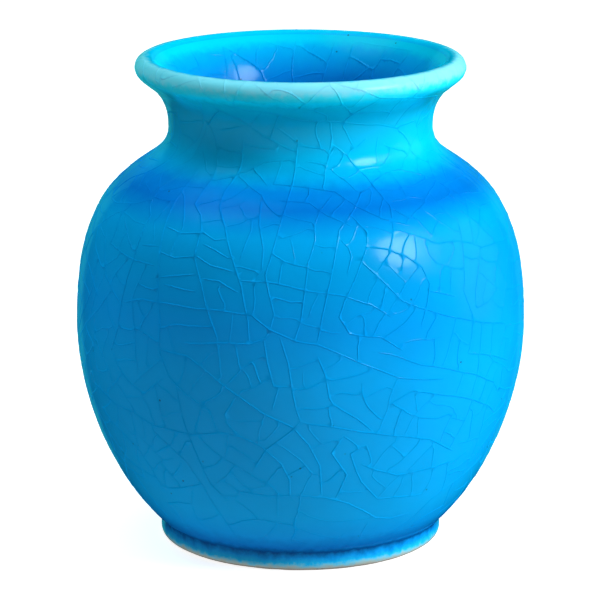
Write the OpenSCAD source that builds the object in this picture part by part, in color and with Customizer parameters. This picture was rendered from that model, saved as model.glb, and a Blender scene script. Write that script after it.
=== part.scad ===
// Glazed stoneware vase: a round belly thrown in one piece, a flared collar with a rolled lip and a turned foot
// ring, each luted on with slip, under a turquoise glaze. +Z is up, and the origin is on the axis where it stands.

/* [Body] */
// Total height, foot to lip
height = 125.5; // [119:0.5:132]
// Radius of the belly at its widest, over the glaze
belly_r = 57.5; // [54:0.5:60]
// Height of the widest part
belly_z = 57.5; // [54:0.5:61]
// Height at which the collar is luted on to the shoulder
collar_joint_z = 97; // [94:0.5:99]

/* [Foot] */
// Radius of the foot ring, over the glaze
foot_r = 36.3; // [34:0.1:38]
// Height of the crease between the foot ring and the belly
foot_h = 5; // [4.6:0.1:5.6]
// Width of the foot ring where it stands
foot_w = 7; // [5:0.5:9]
// Radius that rounds the foot ring's outer edge
foot_edge = 2.2; // [1.6:0.1:2.6]
// Height of the bare clay line below the glaze
bare_h = 0.8; // [0.5:0.1:1.2]
// Slope of the belly where it leaves the foot, in degrees
belly_rise = 44; // [40:1:48]

/* [Collar] */
// Radius of the neck at its narrowest, over the glaze
neck_r = 33.6; // [32:0.1:35]
// Height of the narrowest part of the neck
neck_z = 107.4; // [106:0.1:109]
// Radius of the lip's outer edge
lip_r = 42; // [40:0.1:44]
// Radius of the rolled lip's own section
lip_roll = 2.9; // [2.5:0.1:3.3]
// Where the flare meets the lip below its outer side, in degrees
lip_turn = 43; // [35:1:50]
// Where the outside and inside glazes meet, past the lip's top, in degrees
lip_seam = 50; // [40:1:60]

/* [Walls] */
// Thickness of the belly, glaze and all
belly_wall = 5; // [4:0.1:6]
// Thickness of the neck, glaze and all
neck_wall = 4.6; // [3.8:0.1:5.4]
// Thickness of the clay floor
floor_t = 5.5; // [4.5:0.5:7]
// Thickness of the slip in each luted joint
slip_t = 0.5; // [0.3:0.1:0.8]

/* [Glaze] */
// Thickness of the glaze on the belly
glaze_t = 0.7; // [0.5:0.05:0.9]
// Thickness of the glaze over the lip
glaze_lip = 0.3; // [0.2:0.05:0.4]
// Thickness of the glaze pooled in the foot crease
glaze_pool = 1.2; // [1:0.05:1.4]
// Thickness of the glaze at its lower edge on the foot
glaze_end = 0.12; // [0.1:0.02:0.2]
// Thickness of the glaze inside and underneath
glaze_in = 0.5; // [0.4:0.05:0.7]

/* [Hidden] */
$fn = 180;

// Colours of the fired clay, the slip and the glaze
stoneware = [0.76, 0.71, 0.63];
slip = [0.70, 0.64, 0.56];
turquoise = [0.02, 0.56, 0.84];

// Lengths of the handles that shape the curves between the foot, belly, neck and lip
rise_handle = 16.5;
belly_handle_low = 20;
belly_handle_high = 45;
neck_handle_low = 12.7;
neck_handle_high = 9.4;
lip_handle = 3.8;
// Size of the fillet that the pooled glaze makes in the foot crease
crease_fillet = 0.9;
// Steps along a long curve, a short one and the lip's roll
long_steps = 14;
short_steps = 5;
roll_steps = 14;

// The slip under the foot starts at foot_joint_z, and the clay above it starts at under_z
foot_joint_z = foot_h - 0.6;
under_z = foot_joint_z + slip_t;
floor_z = under_z + floor_t;
foot_in = foot_r - foot_edge - foot_w;
foot_taper = 1;
foot_inner_edge = 1;
roll_centre = [lip_r - lip_roll, height - lip_roll];

// Turns the point or direction a quarter turn, from along a curve to out of the clay on its right
function right_of(d) = [d[1], -d[0]];
function unit(v) = v / norm(v);
function polar(a) = [cos(a), sin(a)];
function reverse(v) = [for (i = [len(v) - 1 : -1 : 0]) v[i]];

// A point on a cubic curve, and the direction out of the surface there
function curve_at(c, t) =
    c[0] * pow(1 - t, 3) + c[1] * 3 * t * pow(1 - t, 2) + c[2] * 3 * t * t * (1 - t) + c[3] * pow(t, 3);
function along_at(c, t) =
    (c[1] - c[0]) * pow(1 - t, 2) + (c[2] - c[1]) * 2 * t * (1 - t) + (c[3] - c[2]) * t * t;
function station(c, t) = [curve_at(c, t), unit(right_of(along_at(c, t)))];

// Stations along a curve, without its last one, and along an arc, with both ends
function along_curve(c, n) = [for (i = [0 : n - 1]) station(c, i / n)];
function along_arc(centre, r, a0, a1, n) =
    [for (i = [0 : n]) let (d = polar(a0 + (a1 - a0) * i / n)) [centre + r * d, d]];

// How thick the glaze is at a height, outside and inside
outside_depth = [
    [bare_h, glaze_end], [foot_edge, 0.5 * glaze_t], [foot_h - crease_fillet, glaze_pool],
    [foot_h + crease_fillet, glaze_pool], [foot_h + 5, glaze_t], [belly_z, glaze_t],
    [collar_joint_z, 1.3 * glaze_t], [neck_z, glaze_t], [height - 2 * lip_roll, glaze_lip + 0.1],
    [height - lip_roll, glaze_lip]
];
inside_depth = [[neck_z, glaze_in], [height - lip_roll, glaze_lip]];
function clay_under(s, depths) = s[0] - s[1] * lookup(s[0][1], depths);

// The outside of the glaze, from the foot ring's bottom edge up to the glaze seam inside the lip
foot_edge_centre = [foot_r - foot_edge, foot_edge];
bare_angle = asin(bare_h / foot_edge - 1);
crease = [foot_r, foot_h];
crease_low = crease - [0, crease_fillet];
crease_high = crease + crease_fillet * polar(belly_rise);
belly = [belly_r, belly_z];
neck = [neck_r, neck_z];
flare_end = roll_centre + lip_roll * polar(-lip_turn);

foot_wall_curve = [[foot_r, foot_edge], [foot_r, foot_edge + 0.5], crease_low - [0, 0.5], crease_low];
crease_curve = [crease_low, crease, crease, crease_high];
low_belly_curve = [
    crease_high, crease_high + rise_handle * polar(belly_rise), belly - [0, belly_handle_low], belly
];
shoulder_curve = [belly, belly + [0, belly_handle_high], neck - [0, neck_handle_low], neck];
flare_curve = [
    neck, neck + [0, neck_handle_high], flare_end - lip_handle * polar(90 - lip_turn), flare_end
];

bare_stations = along_arc(foot_edge_centre, foot_edge, -90, bare_angle, short_steps);
outside_stations = concat(
    along_arc(foot_edge_centre, foot_edge, bare_angle, -1, short_steps),
    along_curve(foot_wall_curve, short_steps),
    along_curve(crease_curve, short_steps),
    along_curve(low_belly_curve, long_steps),
    along_curve(shoulder_curve, 2 * long_steps),
    along_curve(flare_curve, long_steps),
    along_arc(roll_centre, lip_roll, -lip_turn, 90 + lip_seam, roll_steps)
);

// The inside of the glaze, from the floor's centre up to the same seam
floor_flat_r = 0.3 * foot_r;
glaze_floor_z = floor_z + glaze_in;
inner_belly = belly - [belly_wall, 0];
inner_neck = neck - [neck_wall, 0];
inner_flare_end = roll_centre + lip_roll * polar(90 + lip_seam);

floor_curve = [
    [floor_flat_r, glaze_floor_z], [foot_r, glaze_floor_z], inner_belly - [0, 0.45 * belly_z], inner_belly
];
inner_shoulder_curve = [
    inner_belly, inner_belly + [0, belly_handle_high - 1.4 * belly_wall], inner_neck - [0, neck_handle_low + 2], inner_neck
];
inner_flare_curve = [
    inner_neck, inner_neck + [0, neck_handle_high], inner_flare_end - lip_roll * polar(lip_seam), inner_flare_end
];

// These run upward too, so the clay is on their right and the hollow on their left
inside_stations = concat(
    along_curve(floor_curve, long_steps),
    along_curve(inner_shoulder_curve, 2 * long_steps),
    along_curve(inner_flare_curve, long_steps),
    [station(inner_flare_curve, 1)]
);

// The glaze's two faces: its own surface, and the clay that it covers
outside_surface = [for (s = outside_stations) s[0]];
outside_clay = [for (s = outside_stations) clay_under(s, outside_depth)];
inside_surface = concat([[0, glaze_floor_z]], [for (s = inside_stations) s[0]]);
inside_clay = concat(
    [[0, floor_z]],
    [for (s = inside_stations) s[0] + s[1] * lookup(s[0][1], inside_depth)]
);

// All the clay in section, with the foot ring's inner side and the underside of the floor
clay_outline = concat(
    [[0, under_z], [foot_in - foot_taper, under_z], [foot_in, foot_inner_edge]],
    [[foot_in + foot_inner_edge, 0]],
    [for (s = bare_stations) s[0]],
    outside_clay,
    reverse(inside_clay)
);

// The stretch of the clay wall between two heights
module clay_between(z0, z1) {
    rotate_extrude() intersection() {
        polygon(clay_outline);
        translate([0, z0]) square([belly_r + 1, z1 - z0]);
    }
}

module clay_body() {
    color(stoneware) clay_between(under_z, collar_joint_z - slip_t / 2);
}

module clay_collar() {
    color(stoneware) clay_between(collar_joint_z + slip_t / 2, height);
}

module clay_foot_ring() {
    color(stoneware) clay_between(0, foot_joint_z);
}

module slip_collar_joint() {
    color(slip) clay_between(collar_joint_z - slip_t / 2, collar_joint_z + slip_t / 2);
}

module slip_foot_joint() {
    color(slip) clay_between(foot_joint_z, under_z);
}

module glaze_outside() {
    color(turquoise) rotate_extrude() polygon(concat(outside_surface, reverse(outside_clay)));
}

module glaze_inside() {
    color(turquoise) rotate_extrude() polygon(concat(inside_clay, reverse(inside_surface)));
}

// Glaze on the recessed underside, thicker where it creeps down the foot ring's inner side
module glaze_underside() {
    edge_r = foot_in - foot_taper;
    creep = 2 * glaze_in;
    side = (foot_taper) / (under_z - foot_inner_edge);
    color(turquoise) rotate_extrude() polygon([
        [0, under_z], [edge_r, under_z], [edge_r + creep * side, under_z - creep],
        [edge_r - creep, under_z - glaze_in], [0, under_z - glaze_in]
    ]);
}

clay_body();
clay_collar();
clay_foot_ring();
slip_collar_joint();
slip_foot_joint();
glaze_outside();
glaze_inside();
glaze_underside();
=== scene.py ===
import math
import random

import bmesh
import bpy
import numpy as np
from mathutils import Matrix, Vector, kdtree, noise
from mathutils.geometry import delaunay_2d_cdt


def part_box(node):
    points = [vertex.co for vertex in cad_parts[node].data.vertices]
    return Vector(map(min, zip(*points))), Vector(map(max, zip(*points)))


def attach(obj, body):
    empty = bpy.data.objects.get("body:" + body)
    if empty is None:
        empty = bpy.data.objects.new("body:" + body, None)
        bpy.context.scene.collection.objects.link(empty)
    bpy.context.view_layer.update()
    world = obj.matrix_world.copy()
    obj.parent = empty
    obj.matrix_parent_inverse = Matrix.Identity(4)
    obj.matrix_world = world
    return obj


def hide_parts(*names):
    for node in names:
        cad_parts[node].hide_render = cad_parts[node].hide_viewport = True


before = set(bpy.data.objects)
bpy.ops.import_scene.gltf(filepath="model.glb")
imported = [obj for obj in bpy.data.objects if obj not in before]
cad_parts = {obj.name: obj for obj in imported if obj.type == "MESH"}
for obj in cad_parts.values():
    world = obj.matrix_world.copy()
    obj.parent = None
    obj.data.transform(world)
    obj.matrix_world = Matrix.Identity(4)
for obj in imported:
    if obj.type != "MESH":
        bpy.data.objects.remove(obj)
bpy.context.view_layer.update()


# ---------------------------------------------------------------------------------------------------
# The clay body: belly, shoulder and floor, thrown in one piece from buff, lightly grogged stoneware.
# It is the piece that the rest is luted to, and glaze covers all of it but the joints.

MM = 0.001


class Shade:
    """A shader socket. Used in a sum, it adds the Math nodes that the sum needs."""

    def __init__(self, finish, socket):
        self.finish = finish
        self.socket = socket

    def math(self, operation, *values):
        return self.finish.node("ShaderNodeMath", {"operation": operation}, dict(enumerate(values)))

    def __add__(self, other):
        return self.math("ADD", self, other)

    def __sub__(self, other):
        return self.math("SUBTRACT", self, other)

    def __rsub__(self, other):
        return self.math("SUBTRACT", other, self)

    def __mul__(self, other):
        return self.math("MULTIPLY", self, other)

    def clamped(self):
        return self.math("MINIMUM", self.math("MAXIMUM", self, 0.0), 1.0)

    def step(self, start, end):
        """0 below start, 1 above end, and an even rise between them."""
        return self.finish.node(
            "ShaderNodeMapRange", {"clamp": True},
            {"Value": self, "From Min": start, "From Max": end, "To Min": 0.0, "To Max": 1.0},
        )


class Finish:
    """A material and the Principled shader that its fixed numbers are set on."""

    def __init__(self, name, **fixed):
        self.material = bpy.data.materials.new(name)
        self.material.use_nodes = True
        self.tree = self.material.node_tree
        self.shader = self.tree.nodes["Principled BSDF"]
        for socket, value in fixed.items():
            self.shader.inputs[socket.replace("_", " ")].default_value = value

    def node(self, kind, settings, values, output=0):
        """A node with its settings made first and then its sockets filled or linked."""
        made = self.tree.nodes.new(kind)
        for name, value in settings.items():
            if name == "stops":
                ramp = made.color_ramp.elements
                while len(ramp) < len(value):
                    ramp.new(1.0)
                for stop, (place, colour) in zip(ramp, value):
                    stop.position = place
                    stop.color = (*colour, 1.0)
            else:
                setattr(made, name, value)
        for key, value in values.items():
            self.fill(made.inputs[key], value)
        return Shade(self, made.outputs[output])

    def fill(self, socket, value):
        if isinstance(value, Shade):
            self.tree.links.new(value.socket, socket)
        elif isinstance(value, tuple) and socket.type == "RGBA":
            socket.default_value = (*value, 1.0)
        else:
            socket.default_value = value

    def place(self):
        return self.node("ShaderNodeTexCoord", {}, {}, "Object")

    def kept(self, name):
        """A number that the mesh keeps for each point or face."""
        return self.node("ShaderNodeAttribute", {"attribute_name": name}, {}, "Fac")

    def cloud(self, scale, detail=3.0, rough=0.5):
        """Noise from 0 to 1, with this many bumps to the metre."""
        return self.node(
            "ShaderNodeTexNoise", {},
            {"Vector": self.place(), "Scale": scale, "Detail": detail, "Roughness": rough},
        )

    def specks(self, scale):
        """Distance from the nearest of a scatter of points, in parts of their spacing."""
        return self.node(
            "ShaderNodeTexVoronoi", {}, {"Vector": self.place(), "Scale": scale}, "Distance"
        )

    def blend(self, factor, first, second):
        return self.node("ShaderNodeMix", {"data_type": "RGBA"}, {0: factor, 6: first, 7: second}, 2)

    def ramp(self, factor, stops):
        return self.node("ShaderNodeValToRGB", {"stops": stops}, {"Fac": factor})

    def bump(self, height, depth, strength):
        return self.node(
            "ShaderNodeBump", {}, {"Height": height, "Distance": depth, "Strength": strength}
        )

    def use(self, **links):
        for socket, value in links.items():
            self.fill(self.shader.inputs[socket.replace("_", " ")], value)
        return self.material


def clay_finish(name, pale, dark, grog):
    """Fired clay: a dry, mottled body with darker grog and open pits."""
    clay = Finish(name, Specular_IOR_Level=0.25, IOR=1.5)
    grain = clay.cloud(900.0, 6.0, 0.65)
    mottle = clay.cloud(130.0, 4.0, 0.6)
    flecks = 1.0 - clay.specks(1100.0).step(0.12, 0.3)
    tone = clay.blend((mottle * 0.6 + grain * 0.4).step(0.35, 0.65), dark, pale)
    tone = clay.blend(flecks * clay.cloud(420.0).step(0.5, 0.6), tone, grog)
    surface = clay.bump(grain * 0.7 - flecks * 0.5, 0.00012, 0.8)
    return clay.use(Base_Color=tone, Roughness=mottle * 0.15 + 0.72, Normal=surface)


def dress(node, material):
    """Gives a piece that keeps its own mesh a new material."""
    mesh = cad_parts[node].data
    mesh.materials.clear()
    mesh.materials.append(material)


stoneware = clay_finish("stoneware_clay", (0.50, 0.43, 0.34), (0.33, 0.27, 0.20), (0.12, 0.08, 0.05))
dress("clay_body", stoneware)


# ---------------------------------------------------------------------------------------------------
# The two slip seams: liquid clay brushed on the scored edges, which lutes the foot ring under the
# body and the collar on to the shoulder. It fires a little darker and smoother than the clay.

slip = clay_finish("joint_slip", (0.43, 0.36, 0.28), (0.30, 0.24, 0.18), (0.16, 0.11, 0.08))
dress("slip_foot_joint", slip)
dress("slip_collar_joint", slip)


# ---------------------------------------------------------------------------------------------------
# The collar: neck, flare and rolled lip, thrown from the same clay and luted to the shoulder.

dress("clay_collar", stoneware)


# ---------------------------------------------------------------------------------------------------
# The foot ring: a coil luted under the body and turned true on the wheel. Its lowest edge is wiped
# clean of glaze, so the dry buff clay shows there with the turning tool's fine rings.

ROUND = 240
CORNER = math.radians(60)


def section_of(node):
    """A plain piece cut on its +X side: each (radius, height) point and the points next to it."""
    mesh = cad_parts[node].data
    on_cut = {
        v.index: (round(v.co.x, 7), round(v.co.z, 7))
        for v in mesh.vertices if abs(v.co.y) < 1e-6 and v.co.x > -1e-6
    }
    joined = {}
    for edge in mesh.edges:
        a, b = (on_cut.get(i) for i in edge.vertices)
        if a and b and a != b:
            joined.setdefault(a, set()).add(b)
            joined.setdefault(b, set()).add(a)
    return joined


def walk(joined, first, second, corner=CORNER):
    """The points from first by way of second to the next sharp corner of the section."""
    path = [Vector(first), Vector(second)]
    keys = [first, second]
    while True:
        ahead = [p for p in joined[keys[-1]] if p != keys[-2]]
        if not ahead or ahead[0] == first:
            return path
        if (path[-1] - path[-2]).angle(Vector(ahead[0]) - path[-1]) > corner:
            return path
        keys.append(ahead[0])
        path.append(Vector(ahead[0]))


def turn_round(made, row, closed=False):
    """Spins a row of points once round the axis. The row lies behind it, on the +Y side."""
    edges = [made.edges.new(pair) for pair in zip(row, row[1:])]
    if closed:
        edges.append(made.edges.new((row[-1], row[0])))
    bmesh.ops.spin(
        made, geom=row + edges, cent=(0, 0, 0), axis=(0, 0, 1), dvec=(0, 0, 0),
        angle=math.tau, steps=ROUND, use_merge=True, use_duplicate=False,
    )


def finished(name, made, material, node):
    """Makes the bmesh an object, hangs it on the root body and hides the model's piece that it replaces.
    """
    mesh = bpy.data.meshes.new(name)
    bmesh.ops.recalc_face_normals(made, faces=made.faces)
    for face in made.faces:
        face.smooth = True
    made.to_mesh(mesh)
    made.free()
    mesh.materials.append(material)
    piece = bpy.data.objects.new(name, mesh)
    bpy.context.scene.collection.objects.link(piece)
    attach(piece, "root")
    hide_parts(node)
    return piece


def split_up(path, gap):
    """The path's points and others between them, no further apart than about the gap."""
    fine = []
    for a, b in zip(path, path[1:]):
        parts = max(1, round((b - a).length / gap))
        fine += [a.lerp(b, i / parts) for i in range(parts)]
    return fine


TOOL_RING = 0.9 * MM
WIPED_BELOW = 0.5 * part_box("glaze_outside")[0].z


def foot_ring():
    """The ring's closed section, with the turning rings and small knocks of a wiped foot."""
    joined = section_of("clay_foot_ring")
    lowest = min(joined, key=lambda p: (p[1], p[0]))
    path = walk(joined, lowest, sorted(joined[lowest])[-1], corner=math.pi)
    made = bmesh.new()
    row = [made.verts.new((0.0, r, z)) for r, z in split_up(path + path[:1], 0.6 * MM)]
    turn_round(made, row, closed=True)
    for vert in made.verts:
        out = Vector((vert.co.x, vert.co.y, 0)).normalized()
        radius = Vector(vert.co[:2]).length
        if vert.co.z < WIPED_BELOW:
            vert.co.z += 0.06 * MM * (1 + math.sin(radius * math.tau / TOOL_RING))
            vert.co.z += 0.10 * MM * max(0.0, noise.noise(vert.co * 260))
        vert.co -= out * 0.08 * MM * max(0.0, noise.noise(vert.co * 420) - 0.1)
    return made


foot_clay = clay_finish("foot_clay", (0.37, 0.35, 0.32), (0.24, 0.215, 0.18), (0.13, 0.10, 0.07))
finished("foot_ring", foot_ring(), foot_clay, "clay_foot_ring")


# ---------------------------------------------------------------------------------------------------
# The outside glaze: a turquoise alkaline coat, poured and fired to a gloss over the wall, neck and
# lip. It shrinks more than the clay, so it is crazed all over, and it pools navy over the foot ring.

HALF_TURN = math.pi
# How far the glaze's face lies inside the room it has, so that the welts on it stay inside too.
GLAZE_DROP = 0.09 * MM
# The welt along a crack: its height, half its width, and how much steeper than that it is shaded.
RIDGE = 0.11 * MM
RIDGE_FOOT = 0.33 * MM
TILT = 2.3
# The glaze beside a welt gets points this far out from its foot.
SKIRT = 0.26 * MM
# A crack's points lie this far apart, and its heading wavers by this much at each, in radians.
STEP = 1.30 * MM
WAVER = 0.11
# A growing crack feels for others this far away, and turns to meet one that is nearer than DRAWN_IN.
FEELER = 4 * MM
DRAWN_IN = 1.9 * MM
# A crack grows no further than this each way. It is wider than any pane.
FAR = 60 * MM
# The share of cracks that stop short of another, and how much a new one sets off askew, in radians.
STOP_SHORT = 0.16
ASKEW = 0.25
# The spots where the net is searched for its emptiest pane lie this far apart.
SPOT_GAP = 1.9 * MM
# The radius that the crazed face is rolled out flat at, in millimetres.
UNROLLED = 46.0


class Skin:
    """A glaze's face in section: a smooth curve through the cut's points, measured along its run."""

    def __init__(self, path):
        self.points = np.array([tuple(p) for p in path])
        gaps = np.linalg.norm(np.diff(self.points, axis=0), axis=1)
        self.runs = np.concatenate([[0.0], np.cumsum(gaps)])
        self.slopes = np.gradient(self.points, self.runs, axis=0)
        self.length = self.runs[-1]

    def at(self, run):
        """The point at each run, and the unit normal there."""
        run = np.clip(np.asarray(run, dtype=float), 0.0, self.length)
        i = np.clip(np.searchsorted(self.runs, run, side="right") - 1, 0, len(self.runs) - 2)
        gap = (self.runs[i + 1] - self.runs[i])[..., None]
        t = (run - self.runs[i])[..., None] / gap
        a, b = self.points[i], self.points[i + 1]
        c, d = self.slopes[i] * gap, self.slopes[i + 1] * gap
        point = a + t * c + t * t * (3 * (b - a) - 2 * c - d) + t ** 3 * (2 * (a - b) + c + d)
        slope = self.slopes[i] * (1 - t) + self.slopes[i + 1] * t
        slope /= np.linalg.norm(slope, axis=-1)[..., None]
        return point, np.stack([slope[..., 1], -slope[..., 0]], axis=-1)

    def round(self, angle, run):
        """The places and outward normals at angles to the right of the front."""
        point, normal = self.at(run)
        ease = np.minimum(np.asarray(run), self.length - np.asarray(run)) / (3 * MM)
        point = point - normal * (GLAZE_DROP * np.clip(ease, 0.0, 1.0))[..., None]
        side, front = np.sin(angle), -np.cos(angle)
        places = np.stack([point[..., 0] * side, point[..., 0] * front, point[..., 1]], axis=-1)
        normals = np.stack([normal[..., 0] * side, normal[..., 0] * front, normal[..., 1]], axis=-1)
        return places, normals

    def run_at(self, height):
        top = int(np.argmax(self.points[:, 1]))
        return float(np.interp(height, self.points[:top, 1], self.runs[:top]))


def turned_to(angle):
    """The same angle, in the turn from the back round to the back again."""
    return (angle + HALF_TURN) % math.tau - HALF_TURN


def dense(line, skin, gap):
    """Points along a crack, this close together, and how far along the crack each lies."""
    parts = []
    place, _ = skin.round(line[:, 0], line[:, 1])
    lengths = np.linalg.norm(np.diff(place, axis=0), axis=1)
    for a, b, length in zip(line, line[1:], lengths):
        steps = max(1, int(math.ceil(length / gap)))
        parts.append(a + (b - a) * (np.arange(steps) / steps)[:, None])
    points = np.vstack(parts + [line[-1:]])
    place, _ = skin.round(points[:, 0], points[:, 1])
    along = np.concatenate([[0.0], np.cumsum(np.linalg.norm(np.diff(place, axis=0), axis=1))])
    return points, place, along


class Crazing:
    """A glaze's net of cracks. Each is a line of (angle, run) points with a strength."""

    def __init__(self, skin, low, high, seed):
        self.skin = skin
        self.low = low
        self.high = high
        self.chance = random.Random(seed)
        self.lines = []
        self.starts = np.empty((0, 2))
        self.ends = np.empty((0, 2))

    def add(self, line, strength, open_ends=(False, False)):
        line = np.array(line)
        line[:, 0] -= math.tau * round(line[:, 0].mean() / math.tau)
        self.lines.append((line, strength, open_ends))
        self.starts = np.vstack([self.starts, line[:-1]])
        self.ends = np.vstack([self.ends, line[1:]])

    def draw(self, points):
        """A crack through a few (degrees, millimetres up) points, bent a little between them."""
        rough = np.array([(math.radians(a), self.skin.run_at(z * MM)) for a, z in points])
        fine, _, along = dense(rough, self.skin, STEP)
        sway = self.chance.uniform(0, math.tau)
        fine[1:-1, 1] += 0.10 * MM * np.sin(along[1:-1] / (2.2 * MM) + sway)
        self.add(fine, 1.0, (True, True))

    def trace(self, here, heading, reach):
        """A crack from here, until it meets another one, leaves the glaze or stops short."""
        path = [np.array(here)]
        travelled = 0.0
        while travelled < reach:
            radius = self.skin.at(here[1])[0][0]
            scale = np.array([radius, 1.0])
            a = self.starts - here
            a[:, 0] = turned_to(a[:, 0])
            a *= scale
            close = np.abs(a).max(axis=1) < FEELER
            a = a[close]
            b = a + (self.ends - self.starts)[close] * scale
            if len(a):
                gap = np.linalg.norm(a, axis=1)
                k = int(gap.argmin())
                ahead = a[k, 0] * math.sin(heading) + a[k, 1] * math.cos(heading)
                if travelled and gap[k] < DRAWN_IN and ahead > 0.3 * gap[k]:
                    want = math.atan2(a[k, 0], a[k, 1])
                    turn = (want - heading + HALF_TURN) % math.tau - HALF_TURN
                    heading += 0.7 * turn
            heading += self.chance.gauss(0, WAVER)
            move = np.array([math.sin(heading), math.cos(heading)]) * STEP
            if len(a):
                way = b - a
                cross = move[0] * way[:, 1] - move[1] * way[:, 0]
                cross[np.abs(cross) < 1e-12] = 1e-12
                t = (a[:, 0] * way[:, 1] - a[:, 1] * way[:, 0]) / cross
                s = (a[:, 0] * move[1] - a[:, 1] * move[0]) / cross
                hit = (t > 1e-4) & (t < 1.35) & (s > -0.02) & (s < 1.02)
                if hit.any():
                    k = int(np.where(hit, t, 9.0).argmin())
                    share = 0.0 if s[k] < 0.2 else 1.0 if s[k] > 0.8 else s[k]
                    path.append(here + (a[k] + share * way[k]) / scale)
                    return path, True
            here = here + move / scale
            if not self.low + 0.1 * MM < here[1] < self.high - 0.1 * MM:
                return path, False
            path.append(here)
            travelled += STEP
        return path, False

    def fill(self, gap_at, faintest, boldest):
        """Splits the emptiest pane again and again, until none is wider than its height's gap."""
        rows = np.arange(self.low + 1 * MM, self.high - 0.5 * MM, SPOT_GAP)
        spots = []
        for row in rows:
            around = max(12, int(math.tau * self.skin.at(row)[0][0] / SPOT_GAP))
            shift = self.chance.random()
            spots += [(turned_to((i + shift) * math.tau / around), row) for i in range(around)]
        spots = np.array(spots)
        places, _ = self.skin.round(spots[:, 0], spots[:, 1])
        gaps = np.array([gap_at(height) for height in places[:, 2]])
        nearest = np.full(len(spots), FAR)
        target = np.zeros((len(spots), 3))

        def take(line):
            _, samples, _ = dense(line, self.skin, 0.8 * MM)
            low, high = samples.min(axis=0) - 12 * MM, samples.max(axis=0) + 12 * MM
            close = np.where(((places > low) & (places < high)).all(axis=1) | (nearest > FAR / 2))[0]
            apart = np.linalg.norm(places[close, None] - samples[None], axis=2)
            k = apart.argmin(axis=1)
            apart = apart[np.arange(len(close)), k]
            better = apart < nearest[close]
            nearest[close[better]] = apart[better]
            target[close[better]] = samples[k[better]]

        for line, _, _ in self.lines:
            take(line)
        while True:
            widest = int((nearest / gaps).argmax())
            if nearest[widest] < gaps[widest]:
                return
            angle, run = spots[widest]
            place, normal = self.skin.round(np.array([angle]), np.array([run]))
            across = np.array([math.cos(angle), math.sin(angle), 0.0])
            up = np.cross(normal[0], across)
            way = target[widest] - place[0]
            heading = math.atan2(way @ across, way @ up) + self.chance.gauss(0, ASKEW)
            open_ends = []
            halves = []
            for turn in (0.0, HALF_TURN):
                stops = self.chance.random() <= STOP_SHORT
                reach = self.chance.uniform(2, 5) * MM if stops else FAR
                half, met = self.trace(spots[widest], heading + turn, reach)
                halves.append(half)
                open_ends.append(not met)
            line = np.array(halves[1][::-1] + halves[0][1:])
            if len(line) < 2:
                nearest[widest] = 0.0
                continue
            self.add(line, self.chance.uniform(faintest, boldest), open_ends[::-1])
            take(self.lines[-1][0])
            nearest[widest] = min(nearest[widest], 0.9 * gaps[widest])

    def samples(self):
        """Every crack as close points, for measuring from, with its strength at each."""
        places, powers = [], []
        for line, strength, open_ends in self.lines:
            points, place, along = dense(line, self.skin, 0.22 * MM)
            power = np.full(len(points), strength)
            for is_open, distance in zip(open_ends, (along, along[-1] - along)):
                if is_open:
                    power = power * np.clip(0.25 + distance / (3 * MM), 0.0, 1.0)
            edge = np.minimum(points[:, 1] - self.low, self.high - points[:, 1])
            power = power * np.clip(edge / (5 * MM), 0.0, 1.0)
            places.append(place)
            powers.append(power)
        return np.vstack(places), np.concatenate(powers)


def long_crack(net, degrees, run, lean):
    """Adds a main crack that runs both ways from one spot, leaning a little off the upright."""
    ahead, _ = net.trace(np.array([math.radians(degrees), run]), lean, FAR)
    back, _ = net.trace(ahead[0], HALF_TURN + lean, FAR)
    net.add(back[::-1] + ahead[1:], 1.0)


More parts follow.
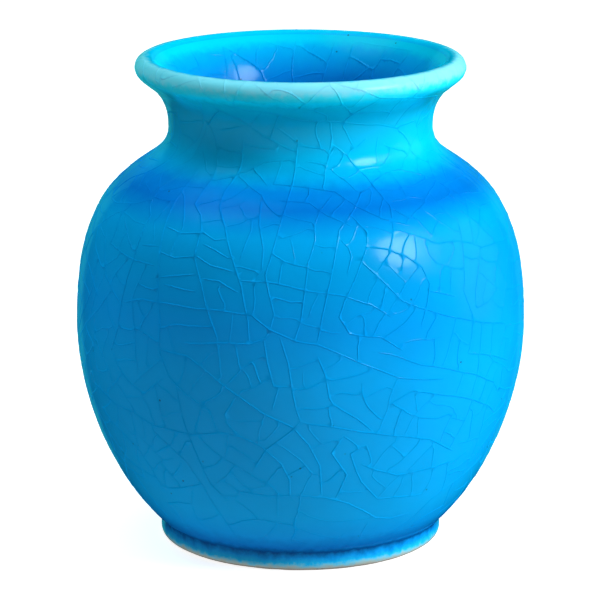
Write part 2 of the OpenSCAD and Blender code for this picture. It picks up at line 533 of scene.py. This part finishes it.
def crazed(made, skin, net, rows, fill_gap):
    """Adds the crazed face to the bmesh, and marks the edges that run along the cracks.

    The face is laid out flat as angle by run, its cracks and edges are joined up with loose points
    into triangles there, and each point is then put back on the skin.
    """
    places, powers = net.samples()
    tree = kdtree.KDTree(len(places))
    for i, place in enumerate(places):
        tree.insert(place, i)
    tree.balance()
    width = HALF_TURN * UNROLLED
    flat, seen, cracks = [], {}, []

    def point(angle, run):
        key = (round(angle * UNROLLED, 3), round(run / MM, 3))
        if key not in seen:
            seen[key] = len(flat)
            flat.append(key)
        return seen[key]

    rim = []
    for run in (net.low, net.high):
        ring = [point(turn, run) for turn in np.linspace(-HALF_TURN, HALF_TURN, ROUND + 1)]
        rim += zip(ring, ring[1:])
    for angle in (-HALF_TURN, HALF_TURN):
        side = [point(angle, run) for run in np.linspace(net.low, net.high, 130)]
        rim += zip(side, side[1:])
    for line, _, _ in net.lines:
        for shift in (-math.tau, 0.0, math.tau):
            moved = line + np.array([shift, 0.0])
            inside = np.abs(moved[:, 0]) < HALF_TURN
            for i in range(len(moved) - 1):
                if inside[i] or inside[i + 1]:
                    pair = (point(*moved[i]), point(*moved[i + 1]))
                    if pair[0] != pair[1]:
                        cracks.append(pair)
    loose = []
    for line, _, _ in net.lines:
        ways = np.gradient(line, axis=0)
        radii = skin.at(line[:, 1])[0][:, 0]
        ways[:, 0] *= radii
        ways /= np.linalg.norm(ways, axis=1)[:, None] + 1e-12
        for far, every in ((RIDGE_FOOT, 1), (SKIRT + RIDGE_FOOT, 2)):
            for i in range(0, len(line), every):
                for side in (-far, far):
                    angle, run = line[i] + (ways[i, 1] / radii[i] * side, -ways[i, 0] * side)
                    loose.append((angle, run, 0.8 * far, 0.24 * MM))
    for run in rows:
        loose += [(i * math.tau / ROUND, run, 0.45 * MM, 0.4 * MM) for i in range(ROUND)]
    for run in np.arange(net.low + 1 * MM, net.high, fill_gap):
        around = int(math.tau * skin.at(run)[0][0] / fill_gap)
        shift = run * 777 % 1
        loose += [((i + shift) * math.tau / around, run, 1.2 * MM, 1.6 * MM) for i in range(around)]
    loose = np.array(loose)
    loose[:, 0] = turned_to(loose[:, 0])
    within = np.abs(loose[:, 0]) * UNROLLED < width - 0.35
    within &= (loose[:, 1] > net.low + 0.2 * MM) & (loose[:, 1] < net.high - 0.2 * MM)
    loose = loose[within]
    taken = set()
    for (angle, run, clear, cell), place in zip(loose, skin.round(loose[:, 0], loose[:, 1])[0]):
        key = tuple((place // cell).astype(int))
        if key not in taken and tree.find(place)[2] > clear:
            taken.add(key)
            point(angle, run)
    points, edges, faces, _, origins, _ = delaunay_2d_cdt(
        [Vector(p) for p in flat], rim + cracks, [], 0, 0.002
    )
    points = np.array([tuple(p) for p in points])
    angles, runs = points[:, 0] / UNROLLED, points[:, 1] * MM
    places, normals = skin.round(angles, runs)
    ridge, craze, runs_at = (made.verts.layers.float[name] for name in ("ridge", "craze", "run"))
    out = made.verts.layers.float_vector["out"]
    verts = []
    for place, normal, run in zip(places, normals, runs):
        _, index, away = tree.find(place)
        power = powers[index]
        slope = max(0.0, 1 - away / RIDGE_FOOT)
        lift = RIDGE * power * slope
        vert = made.verts.new(place + normal * lift)
        vert[ridge] = lift
        vert[craze] = power * slope
        vert[runs_at] = run
        vert[out] = normal
        verts.append(vert)
    for corner in faces:
        if abs(points[list(corner), 0].mean()) < width:
            made.faces.new([verts[i] for i in corner])
    crack_mark = made.edges.layers.int["crack"]
    for (a, b), origin in zip(edges, origins):
        if any(o >= len(rim) for o in origin):
            edge = made.edges.get((verts[a], verts[b]))
            if edge:
                edge[crack_mark] = 1
    bmesh.ops.delete(made, geom=[v for v in verts if not v.link_faces], context="VERTS")


def turn_row(made, points, runs, normals):
    """Adds a face spun from a row of (radius, height) points, each with its run and normal."""
    run_layer, out = made.verts.layers.float["run"], made.verts.layers.float_vector["out"]
    before = len(made.verts)
    row = []
    for (radius, height), run, (along, rise) in zip(points, runs, normals):
        vert = made.verts.new((0.0, radius, height))
        vert[run_layer] = run
        vert[out] = (0.0, along, rise)
        row.append(vert)
    turn_round(made, row)
    for vert in list(made.verts)[before:]:
        _, along, rise = vert[out]
        flat = Vector((vert.co.x, vert.co.y)).normalized() * along
        vert[out] = (flat.x, flat.y, rise)


def plain_rows(made, skin, runs):
    """Adds a face with no cracks, through these runs of the skin."""
    places, normals = skin.round(np.full(len(runs), HALF_TURN), np.array(runs))
    turn_row(made, places[:, 1:], runs, normals[:, 1:])


def hidden_rows(made, skin, path, ends):
    """Adds the glaze's hidden side, whose two ends lie at these runs of the skin."""
    runs = np.full(len(path), skin.length / 2)
    normals = np.zeros((len(path), 2))
    for i, run in zip((0, -1), ends):
        if run is not None:
            runs[i] = run
            normals[i] = skin.at(run)[1]
    turn_row(made, path, runs, normals)


def glaze_shell():
    made = bmesh.new()
    for name in ("ridge", "craze", "run"):
        made.verts.layers.float.new(name)
    made.verts.layers.float_vector.new("out")
    made.edges.layers.int.new("crack")
    made.faces.layers.float.new("pane")
    return made


def thinned(path, gap):
    """The path with points closer together than the gap left out, but for its ends."""
    kept = [path[0]]
    for p in path[1:-1]:
        if (p - kept[-1]).length > gap and (path[-1] - p).length > 0.5 * gap:
            kept.append(p)
    return kept + [path[-1]]


def closed_up(made):
    """Merges the rows that meet, and a little more freely where the crazed face meets itself."""
    bmesh.ops.remove_doubles(made, verts=made.verts, dist=4e-6)
    behind = [v for v in made.verts if abs(v.co.x) < 0.002 * MM and v.co.y > 0]
    bmesh.ops.remove_doubles(made, verts=behind, dist=0.03 * MM)


def number_panes(made, seed):
    """Gives each pane between cracks its own random number, and makes the cracks sharp edges."""
    chance = random.Random(seed)
    crack, pane = made.edges.layers.int["crack"], made.faces.layers.float["pane"]
    for face in made.faces:
        face.tag = False
    for face in made.faces:
        if face.tag:
            continue
        number = chance.random()
        face.tag = True
        spread = [face]
        while spread:
            here = spread.pop()
            here[pane] = number
            for edge in here.edges:
                if not edge[crack]:
                    for other in edge.link_faces:
                        if not other.tag:
                            other.tag = True
                            spread.append(other)
    for edge in made.edges:
        if edge[crack]:
            edge.smooth = False


def crisp(piece):
    """Shades the crazed face from the smooth skin, so that only the ridges catch the light."""
    mesh = piece.data
    count = len(mesh.vertices)
    places, out = np.empty(count * 3), np.empty(count * 3)
    ridge, corners = np.empty(count), np.empty(len(mesh.loops), dtype=int)
    mesh.vertices.foreach_get("co", places)
    mesh.attributes["out"].data.foreach_get("vector", out)
    mesh.attributes["ridge"].data.foreach_get("value", ridge)
    mesh.loops.foreach_get("vertex_index", corners)

    def shading():
        mesh.update()
        normals = np.empty(len(mesh.loops) * 3)
        mesh.corner_normals.foreach_get("vector", normals)
        return normals.reshape(-1, 3)

    lifted = shading()
    flat = places.reshape(-1, 3) - out.reshape(-1, 3) * ridge[:, None]
    mesh.vertices.foreach_set("co", flat.ravel())
    level = shading()
    mesh.vertices.foreach_set("co", places)
    mesh.update()
    known = out.reshape(-1, 3)[corners]
    bare = np.linalg.norm(known, axis=1) < 0.5
    tilt = np.where(ridge[corners][:, None] > 0.004 * MM, TILT * (lifted - level), 0.0)
    wanted = np.where(bare[:, None], lifted, known + tilt)
    wanted /= np.linalg.norm(wanted, axis=1)[:, None]
    mesh.normals_split_custom_set(wanted.astype(np.float32))
    for name in ("out", "ridge"):
        mesh.attributes.remove(mesh.attributes[name])


def glaze_finish(name, bands, length):
    """Glossy crazed glaze, coloured by how far along the run it lies, with specks and pinholes.
    The pinholes are pits painted near-black, as painted shade inside them.
    """
    glaze = Finish(name, Specular_IOR_Level=0.0, IOR=1.5, Coat_Roughness=0.15, Coat_IOR=1.5)
    soft = glaze.cloud(55.0, 3.0, 0.55)
    brushed = glaze.cloud(420.0, 5.0, 0.62)
    run = glaze.kept("run") * (1.0 / length)
    run = run + (brushed - 0.5) * (3.2 * MM / length)
    tone = glaze.ramp(run, [(r * MM / length, c) for r, c in bands])
    depth = (soft - 0.5) * 0.20 + (glaze.kept("pane") - 0.5) * 0.025 + (brushed - 0.5) * 0.05 + 0.5
    shading = glaze.ramp(depth, [(0.0, (0.5, 0.5, 0.5)), (1.0, (1.5, 1.5, 1.5))])
    tone = glaze.node(
        "ShaderNodeMix", {"data_type": "RGBA", "blend_type": "MULTIPLY"}, {0: 1.0, 6: tone, 7: shading}, 2
    )
    craze = glaze.kept("craze")
    tone = glaze.blend(craze * 0.26, tone, (0.0, 0.14, 0.50))
    # Pinholes: real pits, which are painted near-black as the shade inside them.
    pinhole_and_shade = 1.0 - glaze.specks(170.0).step(0.030, 0.055)
    pinhole_and_shade = pinhole_and_shade * glaze.cloud(38.0, 2.0).step(0.52, 0.60)
    tone = glaze.blend(pinhole_and_shade * 0.8, tone, (0.01, 0.05, 0.08))
    ripple = glaze.bump(soft * 0.6 + glaze.cloud(210.0, 2.0) * 0.2 - pinhole_and_shade * 0.25, 0.0005, 0.35)
    gloss = 1.0 - (craze * 1.4).clamped() * 0.85
    return glaze.use(
        Base_Color=tone, Roughness=brushed * 0.10 + 0.30, Coat_Weight=gloss, Normal=ripple
    )


joined = section_of("glaze_outside")
low = min(joined, key=lambda p: (p[1], p[0]))
outer_path = walk(joined, low, max(joined[low]))
outer_skin = Skin(outer_path)
seam = tuple(round(c, 7) for c in outer_path[-1])
beyond = [p for p in joined[seam] if p != tuple(round(c, 7) for c in outer_path[-2])][0]
outer_back = walk(joined, seam, beyond, corner=4.0)
outer_back = thinned(outer_back[:outer_back.index(Vector(low)) + 1], 3 * MM)

# The main cracks on the front, each through a few points: degrees to the right, millimetres up.
FRONT_CRACKS = (
    ((-54, 97), (-52, 93), (-49, 91), (-49, 81), (-51, 71), (-52, 63), (-55, 57)),
    ((-44, 101), (-43, 95), (-41, 87), (-39, 78), (-37, 68), (-37, 60), (-34, 54), (-29, 50), (-24, 47)),
    ((-35, 101), (-35, 95), (-31, 93), (-29, 90), (-29, 84), (-26, 78), (-24, 73), (-21, 66),
     (-20.5, 64.5)),
    ((-25, 110), (-25, 103), (-27, 98), (-26, 95), (-22, 91), (-18, 84), (-15, 78), (-13, 70),
     (-12.5, 64.5)),
    ((-14.5, 93), (-14, 91), (-15, 88), (-16, 84)),
    ((-13, 97), (-12, 92), (-10, 87), (-10, 82), (-12, 79.5)),
    ((-1, 110), (-3, 100), (-5, 95), (-7, 88), (-9, 81), (-8, 77), (-6.5, 72), (-7.5, 68)),
    ((11, 98), (6, 95), (4, 92), (4, 89), (2, 84), (1, 77), (0, 70), (-1.5, 65.5)),
    ((26, 99), (21, 98), (17, 95), (11, 91), (9, 85), (7, 78), (5.5, 72), (4, 65)),
    ((11, 89), (13, 87), (13.5, 85), (12, 81)),
    ((15, 94), (19, 90), (18, 87), (14, 80), (11, 75), (9.5, 71), (12, 67), (20, 65.5), (26, 61.5)),
    ((13, 109), (20, 106), (26, 101), (29, 95), (27, 90), (24, 85), (20, 81)),
    ((18, 87), (24, 86), (29, 84), (33, 81), (34.5, 77), (33, 72), (31, 67)),
    ((34, 75.5), (43, 72.5)),
    ((16, 84), (20, 80), (26, 74), (31, 71.5), (38, 69), (47, 66), (63, 62)),
    ((-10, 100), (3, 99.5), (12, 98.5), (18, 95.5), (25, 92.5), (33, 90.5)),
    ((-8, 97), (3, 96.5), (8, 94), (15, 91.5)),
    ((-41, 89.5), (-35, 88.5), (-28, 89.5), (-24, 88), (-20.5, 88.5)),
    ((-47.5, 84.5), (-41, 85)),
    ((-41, 84), (-35, 83), (-28, 84), (-24, 82.5), (-16, 81)),
    ((-62, 82.5), (-48, 80.5), (-41, 80.5)),
    ((-27.5, 87), (-24, 86), (-19.5, 84.5), (-17.5, 84.5)),
    ((-16, 79.5), (-9, 79.5), (-3, 78.5), (2, 77.5), (11, 76), (18, 73.5), (23, 70)),
    ((-50, 70), (-43, 72), (-30, 72), (-22, 72), (-12, 71.5), (-7.5, 68), (-1, 65.5), (4, 64.5),
     (11, 61.5), (18, 58), (25, 55), (32, 53.5), (38, 53)),
    ((-40, 77.5), (-34, 79), (-27.5, 80)),
    ((-26, 79), (-21, 79), (-15.5, 76.5)),
    ((-37, 76.5), (-31, 76), (-27, 76)),
    ((-30, 63), (-21, 64), (-12.5, 64.5), (-8.5, 66), (-7.5, 68)),
    ((-37, 60.5), (-29, 60), (-23, 56.5), (-16, 51.5), (-9, 47), (-2, 43.5), (2, 39), (5, 33), (6, 24)),
    ((-16, 51), (-19, 46), (-18.5, 43.5), (-16, 41), (-10, 38), (-5, 33.5), (-3, 29), (-3, 24)),
    ((-18, 25), (-9, 24), (0, 24.5), (7, 23.5), (14, 21.5), (19, 19), (24, 16), (30, 15), (37, 15.5)),
    ((0, 45), (10, 43), (17, 41.5), (23, 40), (29, 39), (36, 37), (46, 32)),
    ((4, 62), (6, 57), (7, 51), (8, 49.5), (14, 45.5), (18.5, 41.5)),
    ((-5, 66.5), (-3, 60), (-2, 53), (-1, 48), (0, 45)),
    ((0, 45), (-2.5, 42.5), (-9, 37), (-13, 31)),
    ((-9, 66), (-8, 60), (-6.5, 54), (-2, 54)),
    ((19, 62), (24, 60.5), (31, 57.5), (40, 55), (50, 51.5), (58, 48), (62, 44)),
    ((29, 51), (41, 48), (50, 45), (57, 42), (62, 39)),
    ((46, 58), (57.5, 55), (66, 51.5)),
    ((16, 33), (21, 30.5), (27, 28.5), (34, 28.5), (40, 28.5), (47, 29.5)),
    ((17, 38), (13, 36), (15, 31), (17, 27.5), (23, 22), (30, 21.5), (39, 21)),
    ((11, 41), (8, 36.5), (12.5, 30), (10, 23)),
    ((51, 90), (49, 85), (47, 79), (46, 74)),
    ((56, 82.5), (52, 77), (50, 73), (49.5, 69)),
    ((-66, 84), (-60, 75), (-51, 69)),
    ((-54.5, 57), (-52, 53.5), (-48.5, 50.5), (-43, 48), (-41, 49.5), (-36, 53.5)),
    ((-68, 46), (-56, 43), (-48, 42), (-40, 40), (-30, 39.5), (-20, 41), (-16, 40.5)),
    ((-66, 40), (-56, 35), (-50, 32), (-47, 27), (-45, 21)),
    ((-32, 52), (-31, 44), (-29, 36), (-26, 26), (-22, 21.5)),
)

# The glaze is too thick and runny to craze below this, on the roll over the foot ring.
CRAZED_FROM = outer_skin.run_at(8.0 * MM)
outer_net = Crazing(outer_skin, CRAZED_FROM, outer_skin.length - 1.2 * MM, seed=11)
for points in FRONT_CRACKS:
    outer_net.draw(points)
for i in range(18):
    outer_net.chance.seed(100 + i)
    start = outer_skin.run_at(outer_net.chance.uniform(62, 96) * MM)
    long_crack(outer_net, 84 + i * 11.3, start, 0.12)


def outer_gap(height):
    """Half the width that a pane may have: fine on the belly, wider by the lip and the foot."""
    if height > 112 * MM:
        return 2.8 * MM
    if height < 22 * MM:
        return 3.8 * MM
    return 2.3 * MM


outer_net.fill(outer_gap, 0.45, 1.0)

shell = glaze_shell()
plain_rows(shell, outer_skin, [*np.arange(0, CRAZED_FROM, 0.4 * MM), CRAZED_FROM])
plain_rows(shell, outer_skin, [outer_net.high, outer_net.high + 0.6 * MM, outer_skin.length])
hidden_rows(shell, outer_skin, outer_back, (outer_skin.length, 0.0))
lip_rows = np.arange(outer_skin.run_at(117 * MM), outer_net.high, 0.55 * MM)
crazed(shell, outer_skin, outer_net, lip_rows, 2.9 * MM)
closed_up(shell)
number_panes(shell, 5)

# The colour at each run, in millimetres, from the clay line at the foot to the inside of the lip.
# It includes painted shade on the neck under the lip and a painted sheen over the lip's top.
OUTER_BANDS = (
    (0.3, (0.46, 0.52, 0.47)),
    (1.0, (0.20, 0.64, 0.84)),
    (1.6, (0.01, 0.52, 0.96)),
    (3.0, (0.00, 0.30, 0.84)),
    (4.6, (0.00, 0.075, 0.30)),
    (6.5, (0.00, 0.19, 0.68)),
    (12.0, (0.00, 0.37, 0.96)),
    (20.0, (0.00, 0.43, 0.98)),
    (60.0, (0.00, 0.38, 0.90)),
    (72.0, (0.00, 0.33, 0.86)),
    (86.0, (0.00, 0.335, 0.775)),
    (95.0, (0.00, 0.36, 0.82)),
    (103.0, (0.00, 0.185, 0.67)),
    (109.0, (0.00, 0.25, 0.78)),
    (114.0, (0.00, 0.47, 0.94)),
    (119.0, (0.00, 0.55, 0.98)),
    (126.0, (0.00, 0.49, 0.82)),
    # Painted shade: the neck is darker just under the overhang of the lip.
    (129.5, (0.00, 0.42, 0.67)),
    (134.0, (0.00, 0.52, 0.73)),
    (136.5, (0.00, 0.74, 0.98)),
    (138.4, (0.02, 0.76, 0.98)),
    # Over the lip's top the colour is paler and greyer: partly the thinner glaze there, and partly a
    # painted sheen, the white ceiling's reflection put into the colour.
    (139.8, (0.20, 0.72, 0.90)),
    (142.8, (0.27, 0.70, 0.86)),
    (144.0, (0.00, 0.56, 0.84)),
    (146.0, (0.00, 0.44, 0.82)),
)
turquoise = glaze_finish("turquoise_glaze", OUTER_BANDS, outer_skin.length)
crisp(finished("outer_glaze", shell, turquoise, "glaze_outside"))


# ---------------------------------------------------------------------------------------------------
# The inside glaze: the same turquoise, poured in, rolled round and tipped out, so it lies thinner on
# the neck and pools on the floor. Its crazing shows inside the mouth as fine upright cracks. Below the
# rim its colour is painted darker, as painted shade inside the mouth.

joined = section_of("glaze_inside")
high = max(joined, key=lambda p: p[1])
sides = [walk(joined, high, beside, corner=4.0) for beside in joined[high]]
inner_path, inner_back = sorted(sides, key=lambda side: -side[-1].y)
inner_skin = Skin(inner_path)
# The lining is left smooth below this run, where its crazing would hardly show past the neck.
INNER_CRAZED = 58.0 * MM
inner_net = Crazing(inner_skin, 1.0 * MM, INNER_CRAZED, seed=23)
for i in range(26):
    long_crack(inner_net, -176 + i * 13.9, inner_net.chance.uniform(6, 30) * MM, 0.1)
inner_net.fill(lambda height: 3.0 * MM if height > 100 * MM else 4.2 * MM, 0.45, 0.9)

lining = glaze_shell()
floor_end = inner_skin.length
plain_rows(lining, inner_skin, [0.0, 0.5 * MM, inner_net.low])
plain_rows(lining, inner_skin, [*np.arange(INNER_CRAZED, floor_end, 2.2 * MM), floor_end])
inner_back = thinned(inner_back, 3 * MM)
hidden_rows(lining, inner_skin, inner_back + [Vector((0.0, inner_back[-1].y))], (0.0, None))
hidden_rows(lining, inner_skin, [Vector((0.0, inner_path[-1].y)), inner_path[-1]], (None, floor_end))
crazed(lining, inner_skin, inner_net, np.arange(1.5, 12, 0.6) * MM, 3.2 * MM)
closed_up(lining)
number_panes(lining, 6)

# The lining's colour at each run down from the lip, in millimetres. It darkens quickly below the rim:
# painted shade inside the mouth.
INNER_BANDS = (
    (0.0, (0.00, 0.56, 0.82)),
    (1.5, (0.00, 0.57, 0.83)),
    (4.0, (0.00, 0.38, 0.77)),
    (12.0, (0.00, 0.215, 0.67)),
    (30.0, (0.00, 0.17, 0.62)),
    (110.0, (0.00, 0.20, 0.62)),
    (140.0, (0.00, 0.16, 0.55)),
)
lining_finish = glaze_finish("turquoise_lining", INNER_BANDS, inner_skin.length)
crisp(finished("inner_glaze", lining, lining_finish, "glaze_inside"))


# ---------------------------------------------------------------------------------------------------
# The glaze under the vase, inside the foot ring: a dab swirled in with the last of the bucket. It is
# matter and more broken than the outside coat, and lets the clay show through at its thin edge.

joined = section_of("glaze_underside")
ends = [p for p in joined if len(joined[p]) == 1]
start = min(ends, key=lambda p: p[1])
path = walk(joined, start, sorted(joined[start])[0], corner=4.0)
path = [Vector((0.0, path[0].y))] + path + [Vector((0.0, path[-1].y))]
dab = bmesh.new()
turn_round(dab, [dab.verts.new((0.0, r, z)) for r, z in split_up(path, 0.9 * MM) + [path[-1]]])
bmesh.ops.remove_doubles(dab, verts=dab.verts, dist=1e-6)
lowest = min(v.co.z for v in dab.verts)
for vert in dab.verts:
    if vert.co.z < lowest + 0.05 * MM:
        vert.co.z += 0.10 * MM * (noise.noise(vert.co * 220) + 0.5 + 0.3 * noise.noise(vert.co * 700))
under = Finish("underside_glaze", Specular_IOR_Level=0.4, IOR=1.5, Coat_Weight=0.5, Coat_Roughness=0.2)
broken = under.cloud(170.0, 5.0, 0.6)
tone = under.ramp(broken, [(0.30, (0.0, 0.10, 0.34)), (0.48, (0.0, 0.30, 0.66)),
                           (0.60, (0.08, 0.46, 0.66)), (0.72, (0.34, 0.42, 0.38))])
under.use(Base_Color=tone, Roughness=broken * 0.3 + 0.25, Normal=under.bump(broken, 0.0003, 0.6))
finished("underside_glaze", dab, under.material, "glaze_underside")


# ---------------------------------------------------------------------------------------------------
# The studio: soft oval panels round the vase, most of the light coming from the front right. The fill
# panels aren't seen in the gloss, and the two rim panels behind are seen in nothing else.

CENTRE = Vector((0, 0, 0.07))
RIM_TINT = (0.05, 1.0, 1.0)


def light_panel(name, azimuth, height, distance, size, power, colour=(1, 1, 1), glossy=True, diffuse=True):
    """A panel this far from the vase's middle, at degrees to the right of the front and up."""
    lamp = bpy.data.lights.new(name, "AREA")
    lamp.color = colour
    lamp.shape = "ELLIPSE"
    lamp.size, lamp.size_y = size
    lamp.energy = power
    held = bpy.data.objects.new(name, lamp)
    turn, rise = math.radians(azimuth), math.radians(height)
    way = Vector((math.sin(turn) * math.cos(rise), -math.cos(turn) * math.cos(rise), math.sin(rise)))
    held.location = CENTRE + way * distance
    held.rotation_euler = way.to_track_quat("Z", "Y").to_euler()
    held.visible_glossy = glossy
    held.visible_diffuse = diffuse
    held.visible_camera = False
    bpy.context.scene.collection.objects.link(held)


light_panel("key_panel", 59, 33, 1.1, (0.44, 0.42), 2.0, (0.75, 1.0, 1.0))
light_panel("left_rim", -161, 0, 1.3, (0.7, 1.2), 0.75, RIM_TINT, diffuse=False)
light_panel("right_rim", 161, 0, 1.3, (0.7, 1.2), 0.75, RIM_TINT, diffuse=False)
light_panel("key_wrap", 68, 30, 1.1, (0.6, 0.6), 12.0, glossy=False)
light_panel("side_panel", 105, 10, 1.1, (0.8, 0.8), 6.0, glossy=False)
light_panel("top_panel", -105, 66, 1.3, (0.9, 0.9), 13.5, (0.4, 1.0, 1.0), glossy=False)


# ---------------------------------------------------------------------------------------------------
# The camera: a long lens on a tripod in front of the vase, looking a little down into its mouth.

LOOKING_DOWN = 13.911

camera_data = bpy.data.cameras.new("view")
camera_data.sensor_width = 36.0
camera_data.lens = 208.86
camera_data.clip_end = 20
camera = bpy.data.objects.new("view", camera_data)
camera.location = (-0.000125, -0.869, 0.2768)
camera.rotation_euler = (math.radians(90 - LOOKING_DOWN), 0, 0)
bpy.context.scene.collection.objects.link(camera)
bpy.context.scene.camera = camera


# ---------------------------------------------------------------------------------------------------
# The floor: a wide sheet of pale paper that glows a little. It takes the vase's shadow, and is kept
# out of the gloss and the bounced light, which the studio's surroundings give instead.

made = bmesh.new()
bmesh.ops.create_grid(made, x_segments=1, y_segments=1, size=3.0)
mesh = bpy.data.meshes.new("floor")
made.to_mesh(mesh)
made.free()
floor = bpy.data.objects.new("floor", mesh)
bpy.context.scene.collection.objects.link(floor)
paper = Finish(
    "floor_paper", Roughness=0.9, Base_Color=(0.75, 0.75, 0.75, 1.0), Specular_IOR_Level=0.0,
    Emission_Color=(1.0, 1.0, 1.0, 1.0), Emission_Strength=0.80,
)
mesh.materials.append(paper.material)
floor.visible_glossy = False
floor.visible_diffuse = False
floor.visible_shadow = False


# ---------------------------------------------------------------------------------------------------
# The surroundings: white walls behind, and for the light on the vase a bright ground that fades to a
# dim ceiling. They don't show in the gloss.

world = bpy.data.worlds.new("studio")
bpy.context.scene.world = world
world.use_nodes = True
tree = world.node_tree
place = tree.nodes.new("ShaderNodeTexCoord")
apart = tree.nodes.new("ShaderNodeSeparateXYZ")
fade = tree.nodes.new("ShaderNodeMapRange")
for socket, value in (("From Min", -0.6), ("From Max", 0.15), ("To Min", 0.83), ("To Max", 0.10)):
    fade.inputs[socket].default_value = value
ray = tree.nodes.new("ShaderNodeLightPath")
strength = tree.nodes.new("ShaderNodeMix")
strength.inputs["B"].default_value = 1.0
background = tree.nodes["Background"]
background.inputs["Color"].default_value = (1, 1, 1, 1)
tree.links.new(place.outputs["Generated"], apart.inputs[0])
tree.links.new(apart.outputs["Z"], fade.inputs["Value"])
tree.links.new(ray.outputs["Is Camera Ray"], strength.inputs["Factor"])
tree.links.new(fade.outputs[0], strength.inputs["A"])
tree.links.new(strength.outputs[0], background.inputs["Strength"])
world.cycles_visibility.glossy = False
bpy.context.scene.view_settings.view_transform = "Standard"
